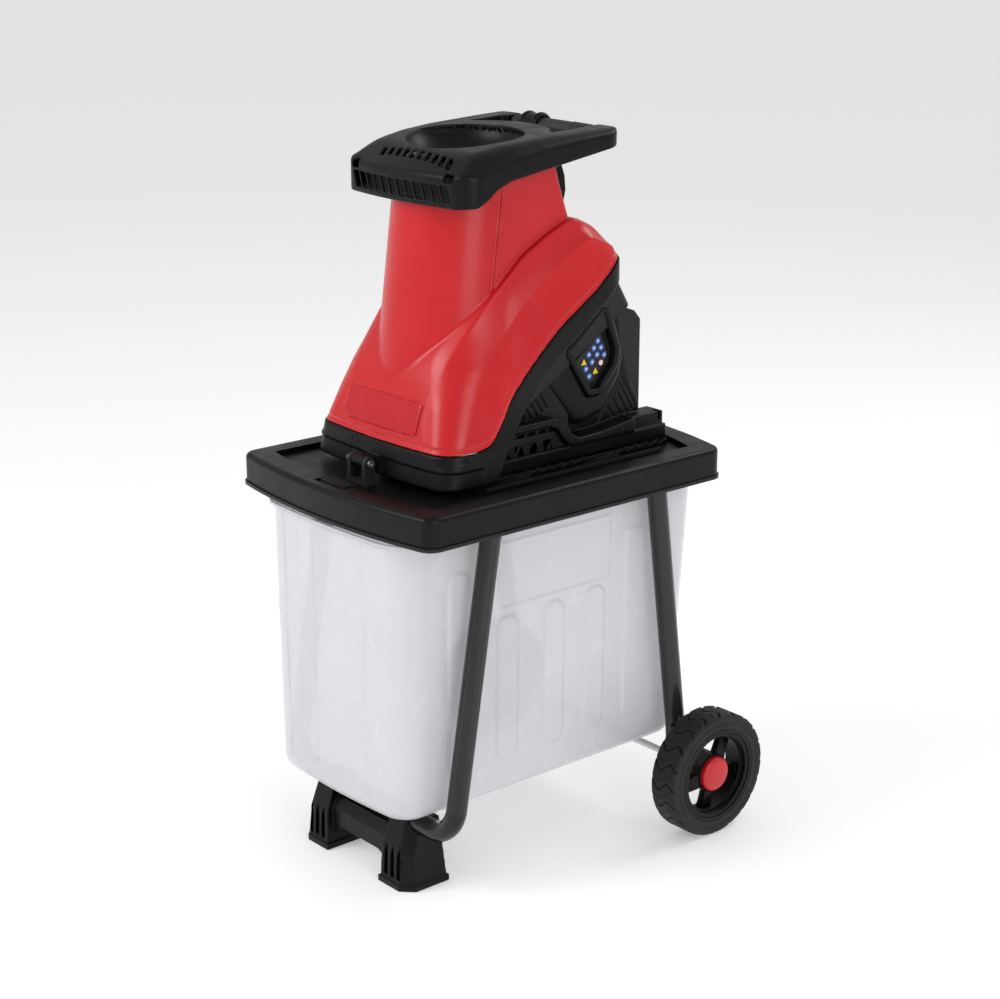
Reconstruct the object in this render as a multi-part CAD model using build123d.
from build123d import *
import math
import os

# Electric garden shredder: a feed tower on a deck, over a pull-out collection box.
# Millimetres. +X is the machine's right, +Y its rear (wheels, motor), +Z up, floor at Z = 0.
# The solids are drawn about the middle of the deck and moved at the end, so that
# the origin is on the floor under the middle of the whole machine.

# ---------------------------------------------------------------- driving sizes
deck_width = 415.0
deck_front_margin = 74.0
deck_rear_margin = 18.0
deck_bow_front = 21.0
deck_bow_rear = 30.0
deck_corner = 22.0
deck_lip_z = 508.8
deck_top_z = 552.8
deck_wall = 4.0
deck_lip = 2.0
deck_lip_height = 5.0
deck_border = 34.0
deck_recess = 7.0

wheel_radius = 89.8
wheel_width = 45.6
wheel_centre_y = 216.9
overall_width = 514.0
hub_cap_radius = 25.0
hub_radius = 17.0
hub_end = 8.0
axle_diameter = 10.0
tyre_seat_radius = 64.0
tyre_shoulder = 6.0
tread_blocks = 20
tread_cut_half = 1.6
rim_wall = 6.0
spoke_count = 5
spoke_half_width = 11.0
spoke_thickness = 8.0
spoke_setback = 18.0
spacer_radius = 9.0

leg_diameter = 28.0
leg_wall = 1.5
leg_rail_gap = 1.0
leg_bend = 42.0
front_leg_top_y = -128.0
front_leg_foot_y = -200.0
front_run_z = 92.0
rear_leg_top_y = 157.0
leg_top_z = 541.0
leg_flat_half = 6.0
leg_flat_width = 34.0
leg_flat_height = 62.0
leg_screw_radius = 2.5
leg_screw_head = 5.0
leg_screw_drop = 14.0
leg_spigot_length = 26.0

foot_half_width = 119.0
foot_front_y = -234.0
foot_depth = 70.0
foot_height = 97.0
foot_block_inner_x = 60.0
foot_flange = 4.0
foot_groove_depth = 6.0
foot_groove_half = 3.5
foot_groove_pitch = 15.0
foot_bridge_low_z = 36.0
foot_bridge_high_z = 76.0
foot_saddle_half = 140.0
clamp_inner_x = 78.0
clamp_outer_x = 96.0
clamp_wall = 2.5

box_half_width_top = 149.0
box_half_width_bottom = 144.0
box_bow = 8.0
box_front_overhang = 2.0
box_rear_overhang = 18.0
box_rear_taper = 26.0
box_bottom_z = 113.0
box_top_z = 503.0
box_corner = 38.0
box_edge_radius = 20.0
box_wall = 2.5
box_flange = 7.0
box_flange_height = 4.0
rail_front_margin = 33.0
rail_rear_margin = 23.0
rail_box_gap = 2.0
rail_wall = 3.0
slider_half_width = 28.0
slider_depth = 22.0
slider_travel_room = 10.0

split_angle = 31.0
split_y = -58.0
split_z = 652.0
rim_front_z = 556.0
rim_height = 42.0
rim_half_width_front = 146.0
rim_half_width_rear = 112.0
rim_front_y = -184.0
rim_rear_y = 165.0
rim_bow = 8.0
rim_corner = 38.0
hood_wall = 3.0
badge_width = 146.0
badge_height = 41.0
badge_thickness = 4.0
badge_y = -183.0
badge_z = 637.0
badge_slope = 71.3

tower_top_z = 915.0
tower_top_radius = 86.0
tower_top_centre_y = -42.0
tower_top_rear_y = 62.0
tower_foot_radius = 100.0
tower_foot_centre_y = -80.0
tower_foot_rear_y = 112.0

hopper_half_width = 127.0
hopper_front_y = -131.0
hopper_bow = 12.0
hopper_rear_y = 138.0
hopper_wall = 3.0
hopper_skirt = 31.0
hopper_corner = 30.0
fin_count = 12
fin_pitch = 19.0
handle_bar_depth = 22.0
handle_gap = 44.0
handle_bar_z = 979.0
handle_core_radius = 8.4
handle_grip_radius = 12.0

throat_width = 126.0
throat_length = 96.0
throat_centre_y = -36.0
throat_z = 906.0
duct_wall = 3.0
feed_width = 92.0
feed_length = 62.0
feed_s = 76.0

hinge_offset = 24.0
hinge_z = 575.0
hinge_pin_diameter = 6.0
hinge_knuckle_radius = 8.0
hinge_knuckle_length = 24.0

knob_s = 230.0
knob_seat = 20.0
knob_radius = 20.0
knob_height = 18.0
knob_lobes = 6
locking_screw_radius = 3.5
locking_screw_hole = 4.5
locking_screw_nut = 5.0
tamper_hook_x0 = -58.0
tamper_hook_x1 = -20.0
tamper_half_width = 39.0
tamper_low_z = 850.0
tamper_high_z = 962.0

disc_s = 125.0
disc_radius = 92.0
disc_thickness = 5.0
disc_depth = 11.0
chamber_depth = 26.0
chamber_floor = 10.0
spindle_diameter = 16.0
blade_length = 74.0
blade_width = 30.0
blade_thickness = 4.0
blade_setback = 46.0
blade_screw_half = 20.0
blade_screw_offset = 12.0
chip_gap_near = 8.0
chip_gap_far = 50.0

gear_module = 2.0
gear_teeth = 30
pinion_teeth = 10
gear_face = 8.0
gear_backlash = 0.5
shaft_diameter = 10.0
core_length = 32.0
core_radius = 25.0
stator_bore = 26.0
stator_radius = 42.0
fan_radius = 38.0
front_bearing_radius = 13.0
rear_bearing_radius = 11.0
bearing_width = 7.0
spindle_bearing_radius = 16.0

drum_half_width = 92.0
drum_s_low = 77.0
drum_s_high = 213.0
drum_depth = 128.0
drum_corner = 30.0
drum_wall = 3.5
label_s_low = 112.0
label_s_high = 186.0
label_depth_low = 52.0
label_depth_high = 104.0
label_recess = 1.5
base_half_width = 112.0
base_front_y = -98.0
base_joint_y = 60.0
base_rear_y = 240.0
base_top_z = 596.0
plate_half_width = 96.0
plate_top_z = 572.0
switch_rear_y = 228.0
switch_half_width = 72.0
inlet_z = 608.0
inlet_radius = 21.0
inlet_bore = 17.0

button_radius = 12.0
button_travel = 4.0
reset_radius = 5.0

# ---------------------------------------------------------------- clearances
running_fit = 0.05
part_gap = 0.5
moving_gap = 1.0
split_gap = 1.0

# ---------------------------------------------------------------- derived places
deck_front_y = rim_front_y - deck_front_margin
deck_rear_y = base_rear_y + deck_rear_margin
frame_mid_y = (wheel_centre_y + wheel_radius + deck_front_y - deck_bow_front) / 2
hinge_y = rim_front_y - hinge_offset
box_front_y = deck_front_y - box_front_overhang
box_rear_top_y = deck_rear_y + box_rear_overhang
box_rear_bottom_y = box_rear_top_y - box_rear_taper
rail_inner_x = box_half_width_top + box_flange + rail_box_gap
rail_outer_x = rail_inner_x + rail_wall
leg_x = rail_outer_x + leg_rail_gap + leg_diameter / 2
rail_front_y = deck_front_y + rail_front_margin
rail_rear_y = deck_rear_y - rail_rear_margin
slider_front_y = deck_front_y
slider_rear_y = slider_front_y + slider_depth
blade_inner = disc_radius - blade_setback
deck_inner_z = deck_top_z - deck_recess
deck_under_z = deck_inner_z - deck_wall
wheel_outer_x = overall_width / 2
wheel_inner_x = wheel_outer_x - wheel_width
disc_chamber_radius = disc_radius + 5.0
motor_s = disc_s + gear_module * (gear_teeth + pinion_teeth) / 2
gear_depth = chamber_depth + chamber_floor + 2.0
front_bearing_depth = gear_depth + gear_face + 2.0
fan_depth = front_bearing_depth + 9.0
core_depth = fan_depth + 9.0
commutator_depth = core_depth + core_length + 4.0
rear_bearing_depth = drum_depth - 13.0
handle_bar_y = hopper_rear_y - handle_bar_depth / 2
split_plane = Plane(
    origin=(0, split_y, split_z),
    x_dir=(1, 0, 0),
    z_dir=(0, -math.sin(math.radians(split_angle)), math.cos(math.radians(split_angle))),
)
split_normal = Axis(split_plane.origin, split_plane.z_dir)


def save(node, shape):
    export_step(Pos(0, -frame_mid_y, 0) * shape, f"parts/{node}.step")


def block(x0, x1, y0, y1, z0, z1):
    middle = Pos((x0 + x1) / 2, (y0 + y1) / 2, (z0 + z1) / 2)
    return middle * Box(x1 - x0, y1 - y0, z1 - z0)


def span(side, near, far):
    """(low, high) of a stretch of X on one side of the machine."""
    return sorted((side * near, side * far))


def side_prism(points, x0, x1):
    """A prism along X from an outline given as (y, z) points."""
    outline = Polyline(*[(x0, y, z) for y, z in points], close=True)
    return extrude(make_face(outline), amount=x1 - x0, dir=(1, 0, 0))


def rod_x(radius, x0, x1, y, z):
    return Pos((x0 + x1) / 2, y, z) * Rot(0, 90, 0) * Cylinder(radius, x1 - x0)


def rod_y(radius, x, y0, y1, z):
    return Pos(x, (y0 + y1) / 2, z) * Rot(90, 0, 0) * Cylinder(radius, y1 - y0)


def on_split(x, s, depth):
    """A place given along the split plane and by its depth under it."""
    return split_plane.location * Pos(x, s, -depth)


def split_rod(radius, s, depth0, depth1, x=0):
    return on_split(x, s, (depth0 + depth1) / 2) * Cylinder(radius, depth1 - depth0)


def split_block(x0, x1, s0, s1, depth0, depth1):
    middle = on_split((x0 + x1) / 2, (s0 + s1) / 2, (depth0 + depth1) / 2)
    return middle * Box(x1 - x0, s1 - s0, depth1 - depth0)


def split_point(s, depth=0):
    """(y, z) of a point given along the split plane and under it."""
    a = math.radians(split_angle)
    y = split_y + s * math.cos(a) + depth * math.sin(a)
    z = split_z + s * math.sin(a) - depth * math.cos(a)
    return y, z


def bowed_outline(half_front, half_rear, front, rear, bow_front, bow_rear, corner):
    """A rounded four-sided outline whose front and rear sides are bowed outwards."""
    if bow_front > 0:
        front_side = ThreePointArc((-half_front, front), (0, front - bow_front), (half_front, front))
    else:
        front_side = Line((-half_front, front), (half_front, front))
    if bow_rear > 0:
        rear_side = ThreePointArc((half_rear, rear), (0, rear + bow_rear), (-half_rear, rear))
    else:
        rear_side = Line((half_rear, rear), (-half_rear, rear))
    right = Line((half_front, front), (half_rear, rear))
    left = Line((-half_rear, rear), (-half_front, front))
    face = make_face(Curve() + [front_side, right, rear_side, left])
    return fillet(face.vertices(), corner)


def deck_outline(inset):
    half = deck_width / 2 - inset
    front = deck_front_y + inset
    rear = deck_rear_y - inset
    corner = max(deck_corner - inset, 3.0)
    return bowed_outline(half, half, front, rear, deck_bow_front, deck_bow_rear, corner)


# ---------------------------------------------------------------- deck and frame
def leg_direction(top_y, foot_y, foot_z):
    return (foot_y - top_y) / (leg_top_z - foot_z)


def leg_y(top_y, foot_y, foot_z, z):
    return top_y + (leg_top_z - z) * leg_direction(top_y, foot_y, foot_z)


def leg_spigot(side, top_y, foot_y, foot_z):
    """The plug under the deck that the top of a leg is pushed over."""
    radius = leg_diameter / 2 - leg_wall - running_fit
    low = leg_top_z - leg_spigot_length
    axis = Line(
        (side * leg_x, leg_y(top_y, foot_y, foot_z, low), low),
        (side * leg_x, leg_y(top_y, foot_y, foot_z, deck_under_z + 1), deck_under_z + 1),
    )
    section = Plane(axis @ 0, z_dir=axis % 0) * Circle(radius)
    return sweep(section, axis)


def make_deck():
    skirt = extrude(Pos(0, 0, deck_lip_z) * deck_outline(deck_lip), deck_top_z - deck_lip_z)
    crest = skirt.faces().sort_by(Axis.Z)[-1].edges()
    skirt = fillet(crest, 7.0)
    lip = extrude(Pos(0, 0, deck_lip_z) * deck_outline(0), deck_lip_height)
    table = skirt + lip
    hollow = extrude(Pos(0, 0, deck_lip_z) * deck_outline(deck_lip + deck_wall), deck_under_z - deck_lip_z)
    table -= hollow
    table -= extrude(Pos(0, 0, deck_inner_z) * deck_outline(deck_border), deck_recess + 1)
    table -= block(-80, 80, -60, 110, deck_under_z - 1, deck_inner_z + 1)
    for side in (-1, 1):
        for x in (122.0, 150.0):
            table += block(*span(side, x, x + 3), -120, 190, deck_inner_z, deck_top_z)
        for y in (-100.0, 60.0):
            wedge = [(y, deck_inner_z), (y + 60, deck_inner_z), (y + 60, deck_top_z + 2)]
            table += side_prism(wedge, *span(side, 129.0, 146.0))
        table += leg_spigot(side, front_leg_top_y, front_leg_foot_y, front_run_z)
        table += leg_spigot(side, rear_leg_top_y, wheel_centre_y, wheel_radius)
    slider_pocket = block(
        -slider_half_width - 4,
        slider_half_width + 4,
        slider_front_y - 4,
        slider_rear_y + slider_travel_room,
        deck_inner_z,
        deck_top_z + 1,
    )
    return table - slider_pocket - leg_screw_shanks(running_fit)


def make_hinge_ears():
    ears = None
    for side in (-1, 1):
        near = side * (hinge_knuckle_length / 2 + part_gap)
        far = near + side * 7.0
        x0, x1 = sorted((near, far))
        ear = rod_x(hinge_knuckle_radius, x0, x1, hinge_y, hinge_z)
        ear += block(x0, x1, hinge_y - 8, hinge_y + 8, deck_inner_z, hinge_z)
        ear -= rod_x(hinge_pin_diameter / 2 + running_fit, x0 - 1, x1 + 1, hinge_y, hinge_z)
        ears = ear if ears is None else ears + ear
    base = block(-22, 22, hinge_y - 8, hinge_y + 8, deck_inner_z, deck_inner_z + 6)
    return ears + base


def make_hinge_pin():
    half = hinge_knuckle_length / 2 + 9.0
    pin = rod_x(hinge_pin_diameter / 2, -half, half, hinge_y, hinge_z)
    for side in (-1, 1):
        x0, x1 = span(side, half, half + 3)
        head = rod_x(hinge_pin_diameter / 2 + 2, x0, x1, hinge_y, hinge_z)
        pin += head
    socket = rod_x(1.6, half + 1, half + 4, hinge_y, hinge_z)
    return pin - socket


def tube_along(path):
    start = path @ 0
    plane = Plane(start, z_dir=path % 0)
    outer = sweep(plane * Circle(leg_diameter / 2), path)
    inner = sweep(plane * Circle(leg_diameter / 2 - leg_wall), path)
    return outer - inner


def make_front_leg():
    top_z = leg_top_z - 2
    top_y = leg_y(front_leg_top_y, front_leg_foot_y, front_run_z, top_z)
    corners = [
        (leg_x, top_y, top_z),
        (leg_x, front_leg_foot_y, front_run_z),
        (-leg_x, front_leg_foot_y, front_run_z),
        (-leg_x, top_y, top_z),
    ]
    return tube_along(FilletPolyline(*corners, radius=leg_bend)) - leg_screw_shanks(running_fit)


def make_rear_leg(side):
    low_z = wheel_radius + leg_flat_height
    top_z = leg_top_z - 2
    path = Line(
        (side * leg_x, leg_y(rear_leg_top_y, wheel_centre_y, wheel_radius, low_z), low_z),
        (side * leg_x, leg_y(rear_leg_top_y, wheel_centre_y, wheel_radius, top_z), top_z),
    )
    tube = tube_along(path) - leg_screw_shanks(running_fit)
    x0, x1 = span(side, leg_x - leg_flat_half, leg_x + leg_flat_half)
    y_low = wheel_centre_y
    y_high = leg_y(rear_leg_top_y, wheel_centre_y, wheel_radius, low_z + 14)
    flat = side_prism(
        [
            (y_low - leg_flat_width / 2, wheel_radius),
            (y_low + leg_flat_width / 2, wheel_radius),
            (y_high + leg_diameter / 2 - 2, low_z + 14),
            (y_high - leg_diameter / 2 + 2, low_z + 14),
        ],
        x0,
        x1,
    )
    flat += rod_x(leg_flat_width / 2, x0, x1, y_low, wheel_radius)
    flat -= rod_x(axle_diameter / 2 + running_fit, x0 - 1, x1 + 1, y_low, wheel_radius)
    return tube + flat


def make_axle():
    reach = wheel_outer_x - 12.0
    return rod_x(axle_diameter / 2, -reach, reach, wheel_centre_y, wheel_radius)


def make_spacers():
    """A spacer tube on each side between the leg and the wheel."""
    pair = []
    for side in (-1, 1):
        x0, x1 = span(side, leg_x + leg_flat_half, wheel_inner_x - part_gap)
        tube = rod_x(spacer_radius, x0, x1, wheel_centre_y, wheel_radius)
        tube -= rod_x(axle_diameter / 2 + running_fit, x0 - 1, x1 + 1, wheel_centre_y, wheel_radius)
        pair.append(tube)
    return Part() + pair


def make_foot():
    rear = foot_front_y + foot_depth
    foot = None
    for side in (-1, 1):
        x0, x1 = span(side, foot_block_inner_x, foot_half_width)
        low = Pos((x0 + x1) / 2, (foot_front_y + rear) / 2, 0) * Rectangle(x1 - x0, foot_depth)
        high_x1 = x1 - 8 if side > 0 else x1 - 4
        high_x0 = x0 + 4 if side > 0 else x0 + 8
        high = Pos((high_x0 + high_x1) / 2, (foot_front_y + rear) / 2, foot_height) * Rectangle(
            high_x1 - high_x0, foot_depth - 20
        )
        tower = loft([fillet(low.vertices(), 9), fillet(high.vertices(), 7)])
        flange = Pos((x0 + x1) / 2, (foot_front_y + rear) / 2, 0) * Rectangle(
            x1 - x0 + foot_flange, foot_depth + foot_flange
        )
        tower += extrude(fillet(flange.vertices(), 10), 9)
        for k in (-1, 0, 1):
            groove_x = (x0 + x1) / 2 + k * foot_groove_pitch - side * 3
            groove_x0 = groove_x - foot_groove_half
            groove_x1 = groove_x + foot_groove_half
            groove_rear = foot_front_y + foot_groove_depth
            groove = block(groove_x0, groove_x1, foot_front_y - 4, groove_rear, 12, 48)
            tower -= groove
        foot = tower if foot is None else foot + tower
    bridge = side_prism(
        [
            (foot_front_y + 10, foot_bridge_low_z),
            (rear - 12, foot_bridge_low_z),
            (rear - 12, foot_bridge_high_z),
            (foot_front_y + 20, foot_bridge_high_z),
            (foot_front_y + 10, foot_bridge_high_z - 10),
        ],
        -foot_block_inner_x - 6,
        foot_block_inner_x + 6,
    )
    foot += bridge
    seat_radius = leg_diameter / 2 + running_fit
    saddle = rod_x(seat_radius, -foot_saddle_half, foot_saddle_half, front_leg_foot_y, front_run_z)
    saddle += block(
        -foot_saddle_half,
        foot_saddle_half,
        front_leg_foot_y - seat_radius,
        front_leg_foot_y + seat_radius,
        front_run_z,
        front_run_z + leg_diameter,
    )
    return foot - saddle


def make_foot_clamps():
    """Straps over the front tube, one on each foot block."""
    pair = []
    for side in (-1, 1):
        x0, x1 = span(side, clamp_inner_x, clamp_outer_x)
        strap = rod_x(leg_diameter / 2 + clamp_wall, x0, x1, front_leg_foot_y, front_run_z)
        strap -= rod_x(leg_diameter / 2 + running_fit, x0 - 1, x1 + 1, front_leg_foot_y, front_run_z)
        over = block(x0, x1, foot_front_y, foot_front_y + foot_depth, foot_height, foot_height + leg_diameter)
        strap = strap & over
        pair.append(strap)
    return Part() + pair


def leg_screw_places():
    places = []
    for side in (-1, 1):
        z = leg_top_z - leg_screw_drop
        places.append((side, leg_y(front_leg_top_y, front_leg_foot_y, front_run_z, z), z))
        places.append((side, leg_y(rear_leg_top_y, wheel_centre_y, wheel_radius, z), z))
    return places


def leg_screw_shanks(clearance):
    shanks = []
    for side, y, z in leg_screw_places():
        x0, x1 = span(side, leg_x - 10, leg_x + leg_diameter / 2 + 1)
        shanks.append(rod_x(leg_screw_radius + clearance, x0, x1, y, z))
    return Part() + shanks


def make_leg_screws():
    screws = []
    for side, y, z in leg_screw_places():
        x0, x1 = span(side, leg_x - 9, leg_x + leg_diameter / 2 + 1)
        head0, head1 = span(side, leg_x + leg_diameter / 2 + 0.2, leg_x + leg_diameter / 2 + 3.5)
        shank = rod_x(leg_screw_radius, x0, x1, y, z)
        screws.append(shank + rod_x(leg_screw_head, head0, head1, y, z))
    return Part() + screws


def make_rail(side):
    """An angle that hangs under the deck and carries one flange of the box."""
    lip_top = box_top_z - box_flange_height - part_gap
    lip_under = lip_top - rail_wall
    web0, web1 = span(side, rail_inner_x, rail_outer_x)
    lip0, lip1 = span(side, box_half_width_top + rail_box_gap, rail_outer_x)
    rail = block(web0, web1, rail_front_y, rail_rear_y, lip_under, deck_under_z)
    return rail + block(lip0, lip1, rail_front_y, rail_rear_y, lip_under, lip_top)


# ---------------------------------------------------------------- collection box
def box_shape(inset, low, high):
    """The box body, drawn in from its outer skin by an inset."""
    corner = box_corner - inset
    bottom = bowed_outline(
        box_half_width_bottom - inset,
        box_half_width_bottom - inset,
        box_front_y + 2 + inset,
        box_rear_bottom_y - inset,
        box_bow,
        0,
        corner,
    )
    top = bowed_outline(
        box_half_width_top - inset,
        box_half_width_top - inset,
        box_front_y + inset,
        box_rear_top_y - inset,
        box_bow,
        0,
        corner,
    )
    return loft([Pos(0, 0, low) * bottom, Pos(0, 0, high) * top])


def make_box():
    outer = box_shape(0, box_bottom_z, box_top_z)
    outer = fillet(outer.faces().sort_by(Axis.Z)[0].edges(), box_edge_radius)
    inner = box_shape(box_wall, box_bottom_z + box_wall, box_top_z)
    inner = fillet(inner.faces().sort_by(Axis.Z)[0].edges(), box_edge_radius - box_wall)
    flange_face = bowed_outline(
        box_half_width_top + box_flange,
        box_half_width_top + box_flange,
        box_front_y - 2,
        box_rear_top_y + 2,
        box_bow,
        0,
        box_corner,
    )
    flange = extrude(Pos(0, 0, box_top_z - box_flange_height) * flange_face, box_flange_height)
    return (outer + flange) - inner


def make_box_lock():
    """The thumb slider at the front of the deck, with three finger ridges."""
    low = deck_inner_z + part_gap
    plate = block(-slider_half_width, slider_half_width, slider_front_y, slider_rear_y, low, low + 3.5)
    for k in range(3):
        y = slider_front_y + 4.0 + k * 7.0
        ridge_half = slider_half_width - 2
        plate += block(-ridge_half, ridge_half, y, y + 3, low + 2.5, low + 7.5)
    return plate


# ---------------------------------------------------------------- wheels
def wheel_ring(r0, r1, x0, x1):
    ring = rod_x(r1, x0, x1, wheel_centre_y, wheel_radius)
    return ring - rod_x(r0, x0 - 1, x1 + 1, wheel_centre_y, wheel_radius)


def turn_about_axle(shape, degrees):
    hub = Pos(0, wheel_centre_y, wheel_radius)
    return hub * Rot(degrees, 0, 0) * hub.inverse() * shape


def make_tyre(side):
    x0, x1 = span(side, wheel_inner_x, wheel_outer_x)
    tyre = rod_x(wheel_radius, x0, x1, wheel_centre_y, wheel_radius)
    tyre = fillet(tyre.edges(), tyre_shoulder)
    tyre -= rod_x(tyre_seat_radius, x0 - 1, x1 + 1, wheel_centre_y, wheel_radius)
    groove = block(
        x0 - 1,
        x1 + 1,
        wheel_centre_y - tread_cut_half,
        wheel_centre_y + tread_cut_half,
        2 * wheel_radius - 4,
        2 * wheel_radius + 3,
    )
    step = 360 / tread_blocks
    for k in range(tread_blocks):
        tyre -= turn_about_axle(groove, step * (k + 0.5))
    return tyre


def make_rim(side):
    x0, x1 = span(side, wheel_inner_x + 2, wheel_outer_x - 4)
    rim = wheel_ring(tyre_seat_radius - rim_wall, tyre_seat_radius, x0, x1)
    dish0, dish1 = span(side, wheel_outer_x - spoke_setback - spoke_thickness, wheel_outer_x - spoke_setback)
    hub0, hub1 = span(side, wheel_inner_x, wheel_outer_x - hub_end)
    rim += rod_x(hub_radius, hub0, hub1, wheel_centre_y, wheel_radius)
    spoke = block(
        dish0,
        dish1,
        wheel_centre_y - spoke_half_width,
        wheel_centre_y + spoke_half_width,
        wheel_radius + hub_radius - 7,
        wheel_radius + tyre_seat_radius - rim_wall / 2,
    )
    for k in range(spoke_count):
        rim += turn_about_axle(spoke, k * 360 / spoke_count)
    bore = rod_x(axle_diameter / 2 + running_fit, hub0 - 1, hub1 + 1, wheel_centre_y, wheel_radius)
    return rim - bore


def make_hub_cap(side):
    x0, x1 = span(side, wheel_outer_x - hub_end - 8, wheel_outer_x - 1)
    cap = rod_x(hub_cap_radius, x0, x1, wheel_centre_y, wheel_radius)
    face = cap.faces().sort_by(Axis.X)[-1 if side > 0 else 0]
    cap = fillet(face.edges(), 4.0)
    pocket0, pocket1 = span(side, wheel_outer_x - hub_end - 9, wheel_outer_x - hub_end)
    return cap - rod_x(hub_radius + running_fit, pocket0, pocket1, wheel_centre_y, wheel_radius)


# ---------------------------------------------------------------- upper housing
def lower_edge():
    """(y, z) points of the parting line, front to rear."""
    rear_y, rear_z = split_point(262.0)
    return [(-260, rim_front_z), (-102, rim_front_z), (-80, 612), (split_y, split_z), (rear_y, rear_z)]


def upper_edge():
    """(y, z) points of the line where the black rim meets the red hood."""
    rear_y, rear_z = split_point(262.0, -rim_height + 6)
    front_z = rim_front_z + rim_height
    return [(-260, front_z), (-120, front_z), (-98, 640), (-75, 682), (rear_y, rear_z)]


def body_outline(inset):
    return bowed_outline(
        rim_half_width_front - inset,
        rim_half_width_rear - inset,
        rim_front_y + inset,
        rim_rear_y - inset,
        rim_bow,
        0,
        rim_corner - inset,
    )


def body_solid(inset):
    """The flared body under the tower: plan, side and front outlines intersected."""
    plan = extrude(Pos(0, 0, 540) * body_outline(inset), 380)
    side = side_prism(
        [
            (-220, 540),
            (rim_front_y - rim_bow - 6 + inset, 540),
            (-150 + inset, 690),
            (-108 + inset, 800),
            (-60, 880 - inset),
            (70, 880 - inset),
            (108, 862 - inset),
            (142 - inset, 828 - inset),
            (rim_rear_y - inset, 785),
            (rim_rear_y - inset, 540),
        ],
        -170,
        170,
    )
    half = rim_half_width_front + 4 - inset
    right = [(half, 540), (half, 600), (112 - inset, 740), (84 - inset, 890)]
    left = [(-x, z) for x, z in reversed(right)]
    outline = Polyline(*[(x, -260, z) for x, z in right + left], close=True)
    front = extrude(make_face(outline), amount=520, dir=(0, 1, 0))
    return plan & side & front


def tower_section(radius, centre_y, rear_y, inset, z):
    r = radius - inset
    arc = ThreePointArc((-r, centre_y), (0, centre_y - r), (r, centre_y))
    rear = rear_y - inset
    sides = Polyline((r, centre_y), (r, rear), (-r, rear), (-r, centre_y))
    return Pos(0, 0, z) * make_face(Curve() + [arc, sides])


def tower_solid(inset):
    low = tower_section(tower_foot_radius, tower_foot_centre_y, tower_foot_rear_y, inset, 560)
    high = tower_section(tower_top_radius, tower_top_centre_y, tower_top_rear_y, inset, tower_top_z)
    return loft([low, high], ruled=True)


def above(points):
    """Everything over a line of (y, z) points."""
    return side_prism(points + [(260, points[-1][1]), (260, 1000), (-260, 1000)], -200, 200)


def knob_well():
    return on_split(0, knob_s, -60) * Cylinder(30, 110)


def make_hood():
    outer = body_solid(0) + tower_solid(0)
    inner = body_solid(hood_wall) + tower_solid(hood_wall)
    hood = (outer - inner) & above(upper_edge())
    top_open = block(-70, 70, -110, 50, 860, 960)
    return hood - top_open - knob_well()


def make_rim_frame():
    band = (body_solid(-0.8) - body_solid(hood_wall + 0.5)) & above(lower_edge())
    band -= above(upper_edge())
    inside = body_solid(1.0)
    plate = split_block(-130, 130, -6, 262, -6, -split_gap) & inside
    feed_low = feed_s - feed_length / 2
    feed_high = feed_s + feed_length / 2
    opening = split_block(-feed_width / 2, feed_width / 2, feed_low, feed_high, -9, 3)
    frame = band + plate - opening
    half = hinge_knuckle_length / 2
    frame += block(-half, half, hinge_y, rim_front_y + 2, hinge_z - 6, hinge_z + 6)
    frame += rod_x(hinge_knuckle_radius, -half, half, hinge_y, hinge_z)
    frame -= rod_x(hinge_pin_diameter / 2 + running_fit, -20, 20, hinge_y, hinge_z)
    boss = split_rod(12, knob_s, -knob_seat + part_gap, -split_gap)
    hole = split_rod(locking_screw_hole, knob_s, -knob_seat - 1, 3)
    return frame + boss - hole


def make_badge():
    plate = Box(badge_width, badge_height, badge_thickness)
    plate = fillet(plate.edges().filter_by(Axis.Z), 6)
    return Pos(0, badge_y, badge_z) * Rot(badge_slope, 0, 0) * plate


def hopper_side_line():
    return [(-150, 938), (-131, 943), (-63, 965), (24, 979), (160, 991)]


def hopper_band(inset, drop):
    """The hopper's outside between its crest and its lower edge."""
    plan = bowed_outline(
        hopper_half_width - inset,
        hopper_half_width - inset,
        hopper_front_y + inset,
        hopper_rear_y - inset,
        hopper_bow,
        0,
        hopper_corner - inset,
    )
    body = extrude(Pos(0, 0, 880) * plan, 130)
    line = hopper_side_line()
    under = [(y, z - hopper_skirt - drop) for y, z in reversed(line)]
    top = [(y, z - inset) for y, z in line]
    return body & side_prism(top + under, -150, 150)


def handle_opening(margin, corner):
    """The outline of the finger gap in front of the handle bar."""
    centre_y = hopper_rear_y - handle_bar_depth - handle_gap / 2
    outline = Pos(0, centre_y, 930) * Rectangle(184 + 2 * margin, handle_gap + 2 * margin)
    return fillet(outline.vertices(), corner)


def funnel(wall, corner):
    """The bowl of the hopper, from its crest down to the throat."""
    top = Pos(0, throat_centre_y + 2, 985) * Rectangle(196 - 2 * wall, 150 - 2 * wall)
    low = Pos(0, throat_centre_y, throat_z) * Rectangle(throat_width - 2 * wall, throat_length - 2 * wall)
    return loft([fillet(low.vertices(), corner), fillet(top.vertices(), 55 - wall)])


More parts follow.
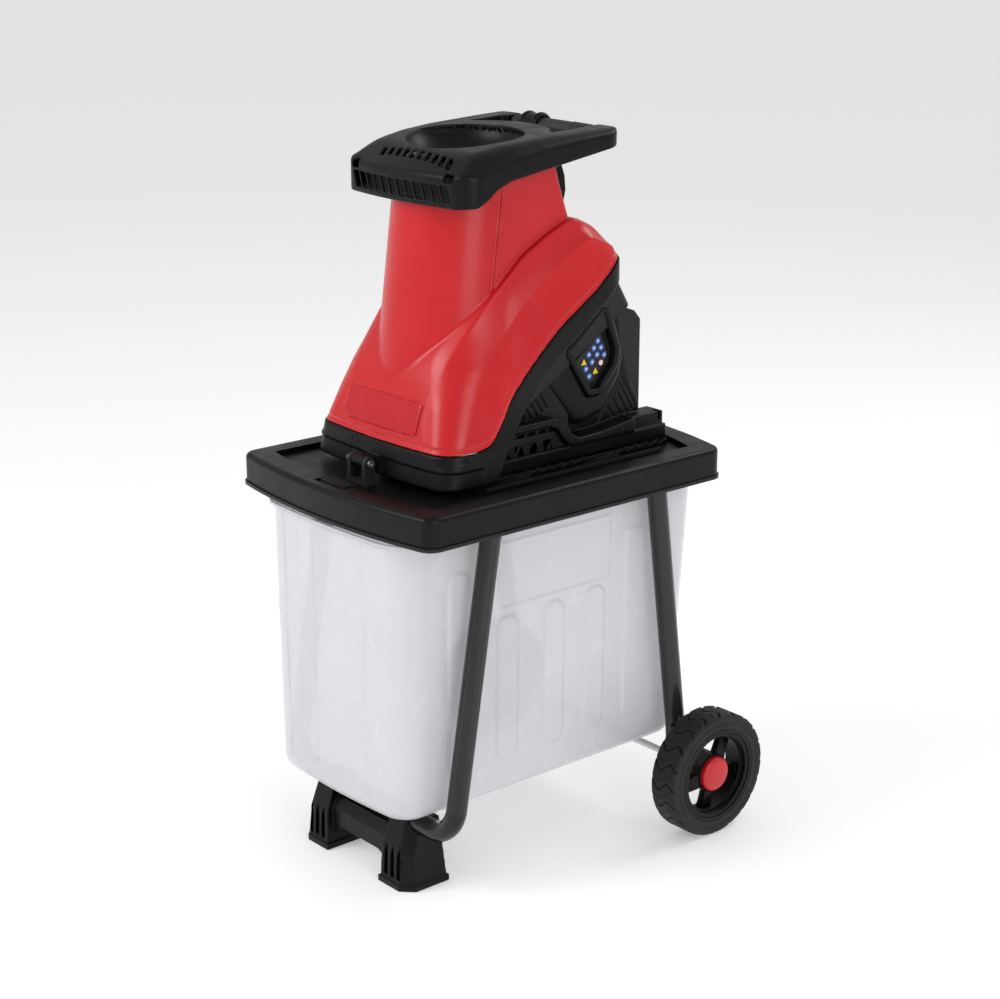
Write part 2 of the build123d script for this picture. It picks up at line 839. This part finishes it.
def make_hopper():
    hopper = hopper_band(0, 0) - hopper_band(hopper_wall, 20)
    hopper += funnel(0, 20) & hopper_band(0, 60)
    hopper -= funnel(duct_wall, 18)
    hopper += extrude(handle_opening(3, 20), 70) & hopper_band(0, 0)
    hopper -= extrude(handle_opening(0, 18), 90)
    gap_rear = hopper_rear_y - handle_bar_depth
    hopper -= block(-79, 79, gap_rear - 1, hopper_rear_y + 1, 900, 1010)
    hopper += rod_x(handle_core_radius, -82, 82, handle_bar_y, handle_bar_z)
    guard = Cylinder(60, 30) - Cylinder(52, 40)
    hopper += Pos(0, throat_centre_y, 930) * (guard & block(-40, 40, -62, -20, -15, 15))
    first_fin = -(fin_count - 1) * fin_pitch / 2
    for k in range(fin_count):
        x = first_fin + k * fin_pitch
        hopper -= Pos(x, hopper_front_y - 4, 925) * Rot(0, 12, 0) * Box(9, 26, 22)
    return hopper


def make_grip():
    grip = rod_x(handle_grip_radius, -78, 78, handle_bar_y, handle_bar_z)
    grip = fillet(grip.edges(), 3)
    return grip - rod_x(handle_core_radius + running_fit, -79, 79, handle_bar_y, handle_bar_z)


def make_chute():
    """The duct from the hopper's throat down to the cutter."""
    duct = None
    for wall, corner_top, corner_low in ((0, 20, 6), (duct_wall, 18, 4)):
        mouth = Rectangle(throat_width - 2 * wall, throat_length - 2 * wall)
        top = Pos(0, throat_centre_y, throat_z - part_gap) * mouth
        grow = 2 * (duct_wall - wall)
        low = on_split(0, feed_s, -6.5) * Rectangle(feed_width + grow, feed_length + grow)
        shape = loft([fillet(low.vertices(), corner_low), fillet(top.vertices(), corner_top)])
        duct = shape if duct is None else duct - shape
    return duct


def make_tamper():
    """The pusher: a hook over the handle, a neck and a paddle that hangs behind."""
    inside = handle_grip_radius + moving_gap
    outside = inside + 6
    hook = rod_x(outside, tamper_hook_x0, tamper_hook_x1, handle_bar_y, handle_bar_z)
    hook -= rod_x(inside, tamper_hook_x0 - 2, tamper_hook_x1 + 2, handle_bar_y, handle_bar_z)
    hook -= block(
        tamper_hook_x0 - 2,
        tamper_hook_x1 + 2,
        handle_bar_y - outside - 2,
        handle_bar_y + inside,
        handle_bar_z - 30,
        handle_bar_z,
    )
    middle = (tamper_hook_x0 + tamper_hook_x1) / 2
    paddle_y = hopper_rear_y + 4
    paddle = block(
        middle - tamper_half_width,
        middle + tamper_half_width,
        paddle_y,
        paddle_y + 10,
        tamper_low_z,
        tamper_high_z,
    )
    paddle = chamfer(paddle.edges().filter_by(Axis.Y), 14)
    neck = block(middle - 15, middle + 15, handle_bar_y + inside, paddle_y + 7, 940, handle_bar_z + 4)
    return hook + paddle + neck


# ---------------------------------------------------------------- locking knob
def make_knob():
    knob = split_rod(knob_radius, knob_s, -knob_seat - knob_height, -knob_seat)
    for k in range(knob_lobes):
        a = 2 * math.pi * (k + 0.5) / knob_lobes
        x = (knob_radius + 1) * math.cos(a)
        s = knob_s + (knob_radius + 1) * math.sin(a)
        knob -= split_rod(5, s, -knob_seat - knob_height - 2, -knob_seat + 2, x)
    return knob


def make_knob_screw():
    return split_rod(locking_screw_radius, knob_s, -knob_seat, 10)


# ---------------------------------------------------------------- lower housing
def make_lower_housing():
    slab = split_block(-108, 108, 0, 250, split_gap / 2, chamber_depth + chamber_floor)
    slab = fillet(slab.edges().filter_by(split_normal), 14)
    chamber = split_rod(disc_chamber_radius, disc_s, -1, chamber_depth)
    slab -= chamber
    disc_edge = disc_s - disc_radius
    slab -= split_block(-52, 52, disc_edge + chip_gap_near, disc_edge + chip_gap_far, 0, 60)
    slab -= split_rod(spindle_bearing_radius + running_fit, disc_s, chamber_depth - 1, 60)
    slab -= split_rod(locking_screw_nut, knob_s, -1, 16)
    wall = 5.0
    base = block(-base_half_width, base_half_width, base_front_y, base_joint_y, deck_inner_z, base_top_z)
    base -= block(
        -base_half_width + wall,
        base_half_width - wall,
        base_front_y + wall + 1,
        base_joint_y - wall - 1,
        deck_inner_z - 1,
        base_top_z - wall,
    )
    base -= block(-50, 50, -70, 40, 580, 600)
    for k in range(5):
        y = -84.0 + k * 25.0
        slot = side_prism([(y, 562), (y + 14, 562), (y + 8, 586), (y - 6, 586)], -120, 120)
        base -= slot
    plate = block(-plate_half_width, plate_half_width, base_joint_y, base_rear_y, deck_inner_z, plate_top_z)
    plate -= block(
        -plate_half_width + wall,
        plate_half_width - wall,
        base_joint_y + wall,
        base_rear_y - wall,
        deck_inner_z - 1,
        plate_top_z - 4,
    )
    web_points = [
        (-92, 590),
        split_point(2, 4),
        split_point(86, 4),
        split_point(86, 96),
        (66, 592),
    ]
    under = below_split()
    housing = base + plate
    for side in (-1, 1):
        x0, x1 = span(side, plate_half_width, plate_half_width + wall)
        housing += side_prism(web_points, x0, x1)
    housing = housing & under
    return slab + housing


def below_split():
    """Everything under the parting line, less a small gap."""
    line = [(-102 + 3, rim_front_z - 1), (-80 + 3, 612), split_point(0, 1), split_point(262, 1)]
    return side_prism([(-102 + 3, 500)] + line + [(300, line[-1][1]), (300, 500)], -200, 200)


def drum_body(inset, depth0, depth1):
    shape = split_block(
        -drum_half_width + inset,
        drum_half_width - inset,
        drum_s_low + inset,
        drum_s_high - inset,
        depth0,
        depth1,
    )
    shape = fillet(shape.edges().filter_by(split_normal), drum_corner - inset)
    low = shape.faces().sort_by(split_normal)[0]
    return fillet(low.edges(), 20 - inset)


def make_motor_housing():
    depth0 = chamber_depth + chamber_floor + part_gap
    drum = drum_body(0, depth0, drum_depth) - drum_body(drum_wall, depth0 - 5, drum_depth - drum_wall)
    drum -= split_block(
        drum_half_width - label_recess,
        drum_half_width + 2,
        label_s_low,
        label_s_high,
        label_depth_low,
        label_depth_high,
    )
    for k in range(5):
        s = label_s_low + 15.0 * k
        drum -= split_block(drum_half_width - 8, drum_half_width + 2, s, s + 8, 39, 48)
    seat = split_rod(20, motor_s, drum_depth - 13.5, drum_depth - 2)
    seat -= split_rod(rear_bearing_radius + running_fit, motor_s, drum_depth - 18, drum_depth - 6)
    half = drum_half_width - drum_wall / 2
    depth = front_bearing_depth
    bridge = split_block(-half, half, motor_s - 18, motor_s + 18, depth, depth + 8)
    bridge -= split_rod(front_bearing_radius + running_fit, motor_s, depth - 2, depth + 18)
    return drum + seat + bridge


def make_label():
    return split_block(
        drum_half_width - label_recess,
        drum_half_width - 0.3,
        label_s_low + 1,
        label_s_high - 1,
        label_depth_low + 1,
        label_depth_high - 1,
    )


def make_pedestal():
    """The vented support behind the motor that carries the switch box."""
    foot_z = plate_top_z + 0.2
    points = [
        (122, foot_z),
        (208, foot_z),
        (203, 640),
        split_point(drum_s_high + 1, 88),
        split_point(165, drum_depth + 1),
    ]
    shape = side_prism(points, -86, 86)
    shape -= side_prism([(136, 570), (200, 570), (195, 660), (165, 625)], -82, 82)
    shape -= drum_body(-part_gap, chamber_depth, drum_depth + part_gap)
    for k in range(5):
        y = 148.0 + 11.0 * k
        shape -= side_prism([(y, 580), (y + 5, 580), (y + 1, 612 + 2 * k), (y - 4, 608 + 2 * k)], -90, 90)
    return shape


def make_switch_box():
    points = [
        (209, plate_top_z + 0.2),
        (switch_rear_y, plate_top_z + 0.2),
        (switch_rear_y, 712),
        (214, 728),
        (188, 738),
        split_point(drum_s_high + 1.5, 40),
        split_point(drum_s_high + 1.5, 84),
        (205, 640),
    ]
    box = side_prism(points, -switch_half_width, switch_half_width)
    box = fillet(box.edges().filter_by(Axis.Z), 4)
    box -= drum_body(-part_gap, chamber_depth, drum_depth + part_gap)
    back = switch_rear_y - 3
    inner = [(212, 580), (back, 580), (back, 708), (212, 720), (206, 715), (208, 640)]
    box -= side_prism(inner, -switch_half_width + 4, switch_half_width - 4)
    for x, z, radius in button_places():
        box -= rod_y(radius + 0.4, x, switch_rear_y - 8, switch_rear_y + 2, z)
    box -= rod_y(inlet_radius + part_gap, 0, switch_rear_y - 8, switch_rear_y + 2, inlet_z)
    return box


def button_places():
    return [(-24.0, 684.0, button_radius), (24.0, 684.0, button_radius), (0.0, 652.0, reset_radius)]


def make_button(index):
    x, z, radius = button_places()[index]
    cap = rod_y(radius, x, switch_rear_y - 2, switch_rear_y + button_travel + 1, z)
    cap = fillet(cap.faces().sort_by(Axis.Y)[-1].edges(), 1.5)
    return cap


def make_inlet():
    cup = rod_y(inlet_radius, 0, switch_rear_y - 9, switch_rear_y + 12, inlet_z)
    cup -= rod_y(inlet_bore, 0, switch_rear_y - 4, switch_rear_y + 14, inlet_z)
    return cup


def make_inlet_pins():
    pins = []
    for x in (-9.5, 9.5):
        pins.append(rod_y(2.4, x, switch_rear_y - 4, switch_rear_y + 9, inlet_z))
    return Part() + pins


# ---------------------------------------------------------------- cutter
def split_ring(r0, r1, s, depth0, depth1):
    return split_rod(r1, s, depth0, depth1) - split_rod(r0, s, depth0 - 1, depth1 + 1)


def make_spindle():
    shaft = split_rod(spindle_diameter / 2, disc_s, disc_depth - 2, gear_depth + gear_face + 3)
    return shaft + split_rod(13, disc_s, disc_depth + disc_thickness, chamber_depth - 1)


def turn_on_split(shape, s, degrees):
    hub = split_plane.location * Pos(0, s, 0)
    return hub * Rot(0, 0, degrees) * hub.inverse() * shape


def blade_screw_places():
    return [(x, blade_inner + blade_screw_offset) for x in (-blade_screw_half, blade_screw_half)]


def make_disc():
    disc = split_ring(spindle_diameter / 2, disc_radius, disc_s, disc_depth, disc_depth + disc_thickness)
    for half in (0, 180):
        slot_s = disc_s + blade_inner
        slot = split_block(-34, 34, slot_s - 4, slot_s + 1, disc_depth - 2, disc_depth + 8)
        disc -= turn_on_split(slot, disc_s, half)
    return disc


def make_blades():
    pair = []
    for half in (0, 180):
        blade = split_block(
            -blade_length / 2,
            blade_length / 2,
            disc_s + blade_inner,
            disc_s + blade_inner + blade_width,
            disc_depth - blade_thickness,
            disc_depth,
        )
        pair.append(turn_on_split(blade, disc_s, half))
    return Part() + pair


def make_blade_screws():
    screws = []
    for half in (0, 180):
        for x, s in blade_screw_places():
            top = disc_depth - blade_thickness
            head = split_rod(4.5, disc_s + s, top - 3, top, x)
            screws.append(turn_on_split(head, disc_s, half))
    return Part() + screws


def make_disc_nut():
    nut = on_split(0, disc_s, disc_depth) * extrude(RegularPolygon(12, 6), 7)
    return nut - split_rod(spindle_diameter / 2, disc_s, disc_depth - 2, disc_depth + 1)


def involute_point(base, radius):
    roll = math.sqrt(max((radius / base) ** 2 - 1, 0))
    return roll - math.atan(roll)


def gear_outline(teeth):
    """One closed outline of a spur gear with involute flanks."""
    pitch = gear_module * teeth / 2
    base = pitch * math.cos(math.radians(20))
    tip = pitch + 0.6 * gear_module
    root = pitch - 0.95 * gear_module
    half_tooth = math.pi / (2 * teeth) - gear_backlash / (2 * pitch)
    radii = [max(base, root), pitch, tip]
    at_pitch = involute_point(base, pitch)
    points = []
    for k in range(teeth):
        middle = 2 * math.pi * k / teeth
        flank = [(r, half_tooth + at_pitch - involute_point(base, r)) for r in radii]
        rising = [(root, -flank[0][1])] + [(r, -a) for r, a in flank]
        falling = [(r, a) for r, a in reversed(flank)] + [(root, flank[0][1])]
        if base < root:
            rising = rising[1:]
            falling = falling[:-1]
        for r, a in rising + falling:
            points.append((r * math.cos(middle + a), r * math.sin(middle + a)))
    return make_face(Polyline(*points, close=True))


def make_drive_gear():
    turn = 90 + 180 / gear_teeth
    wheel = extrude(Rot(0, 0, turn) * gear_outline(gear_teeth), gear_face)
    wheel = on_split(0, disc_s, gear_depth + gear_face) * wheel
    return wheel - split_rod(spindle_diameter / 2, disc_s, gear_depth - 1, gear_depth + gear_face + 1)


def make_pinion():
    wheel = extrude(Rot(0, 0, -90) * gear_outline(pinion_teeth), gear_face)
    wheel = on_split(0, motor_s, gear_depth + gear_face) * wheel
    return wheel - split_rod(shaft_diameter / 2 - 1, motor_s, gear_depth - 1, gear_depth + gear_face + 1)


# ---------------------------------------------------------------- motor
def make_shaft():
    shaft = split_rod(shaft_diameter / 2 - 1, motor_s, gear_depth - 0.5, front_bearing_depth - 0.5)
    return shaft + split_rod(shaft_diameter / 2, motor_s, front_bearing_depth - 0.5, rear_bearing_depth + 6)


def make_fan():
    fan = split_ring(shaft_diameter / 2, fan_radius, motor_s, fan_depth, fan_depth + 1.5)
    for k in range(8):
        vane = split_block(-0.8, 0.8, motor_s + 12, motor_s + fan_radius - 2, fan_depth + 1.5, fan_depth + 7)
        fan += turn_on_split(vane, motor_s, 45 * k)
    return fan


def make_core():
    core = split_ring(shaft_diameter / 2, core_radius, motor_s, core_depth, core_depth + core_length)
    s0 = motor_s + 17
    s1 = motor_s + core_radius + 1
    slot = split_block(-1.4, 1.4, s0, s1, core_depth - 1, core_depth + core_length + 1)
    for k in range(12):
        core -= turn_on_split(slot, motor_s, 30 * k)
    return core


def make_commutator():
    return split_ring(shaft_diameter / 2, 13, motor_s, commutator_depth, commutator_depth + 10)


def make_stator():
    ring = split_ring(stator_bore, stator_radius, motor_s, core_depth, core_depth + core_length)
    for side in (-1, 1):
        x0, x1 = span(side, 33.0, 45.0)
        ring -= split_block(x0, x1, motor_s - 14, motor_s + 14, core_depth - 1, core_depth + core_length + 1)
    return ring


def make_field_coils():
    pair = []
    for side in (-1, 1):
        x0, x1 = span(side, 33.4, 39.0)
        coil_end = core_depth + core_length + 2
        pair.append(split_block(x0, x1, motor_s - 13, motor_s + 13, core_depth - 1.5, coil_end))
    return Part() + pair


def make_brushes():
    pair = []
    for side in (-1, 1):
        x0, x1 = span(side, 13.3, 26.0)
        pair.append(split_block(x0, x1, motor_s - 3, motor_s + 3, commutator_depth + 1, commutator_depth + 8))
    return Part() + pair


def make_brush_holders():
    pair = []
    for side in (-1, 1):
        x0, x1 = span(side, 16.0, 38.0)
        tube = split_block(x0, x1, motor_s - 5, motor_s + 5, commutator_depth - 1, commutator_depth + 10)
        deep = commutator_depth + 0.9
        tube -= split_block(x0 - 1, x1 + 1, motor_s - 3.1, motor_s + 3.1, deep, deep + 7.2)
        pair.append(tube)
    return Part() + pair


def make_bearing(s, bore, outer, depth, width):
    return split_ring(bore / 2 + running_fit, outer, s, depth, depth + width)


def make_deflector():
    """The tray that guides the chips from the cutter down through the deck."""
    y_top, z_top = split_point(disc_s - disc_radius + chip_gap_near, chamber_depth + chamber_floor + 6)
    points = [(y_top + 4, z_top - 8), (40, 596 - 8), (34, 500), (30, 500), (35, 584), (y_top + 2, z_top - 14)]
    return side_prism(points, -48, 48)


def make_base_screws():
    screws = []
    for side in (-1, 1):
        for y in (80.0, 228.0):
            screws.append(Pos(side * 82.0, y, 573.5) * Cylinder(5, 3))
    return Part() + screws


# ---------------------------------------------------------------- write the parts
os.makedirs("parts", exist_ok=True)

save("deck_table", make_deck())
save("hinge_ears", make_hinge_ears())
save("hinge_pin", make_hinge_pin())
save("front_leg_tube", make_front_leg())
save("front_foot", make_foot())
save("foot_clamps", make_foot_clamps())
save("leg_screws", make_leg_screws())
save("axle", make_axle())
save("axle_spacers", make_spacers())
save("collection_box", make_box())
save("box_lock_slider", make_box_lock())

for name, side in (("right", 1), ("left", -1)):
    save(f"rear_leg_{name}", make_rear_leg(side))
    save(f"box_rail_{name}", make_rail(side))
    save(f"tyre_{name}", make_tyre(side))
    save(f"wheel_rim_{name}", make_rim(side))
    save(f"hub_cap_{name}", make_hub_cap(side))

save("hood", make_hood())
save("rim_frame", make_rim_frame())
save("badge_plate", make_badge())
save("hopper", make_hopper())
save("handle_grip", make_grip())
save("feed_chute", make_chute())
save("tamper", make_tamper())
save("locking_knob", make_knob())
save("locking_screw", make_knob_screw())

save("lower_housing", make_lower_housing())
save("motor_housing", make_motor_housing())
save("safety_label", make_label())
save("rear_pedestal", make_pedestal())
save("switch_box", make_switch_box())
save("start_button", make_button(0))
save("stop_button", make_button(1))
save("reset_button", make_button(2))
save("mains_inlet", make_inlet())
save("inlet_pins", make_inlet_pins())
save("chip_deflector", make_deflector())
save("base_screws", make_base_screws())

save("spindle", make_spindle())
save("cutter_disc", make_disc())
save("cutter_blades", make_blades())
save("blade_screws", make_blade_screws())
save("disc_nut", make_disc_nut())
save("drive_gear", make_drive_gear())
save(
    "spindle_bearing",
    make_bearing(disc_s, spindle_diameter, spindle_bearing_radius, chamber_depth, chamber_floor - part_gap),
)
save("armature_shaft", make_shaft())
save("pinion", make_pinion())
save("cooling_fan", make_fan())
save("rotor_core", make_core())
save("commutator", make_commutator())
save("stator_core", make_stator())
save("field_coils", make_field_coils())
save("carbon_brushes", make_brushes())
save("brush_holders", make_brush_holders())
save(
    "front_bearing",
    make_bearing(motor_s, shaft_diameter, front_bearing_radius, front_bearing_depth, bearing_width),
)
save(
    "rear_bearing",
    make_bearing(motor_s, shaft_diameter, rear_bearing_radius, rear_bearing_depth, bearing_width),
)
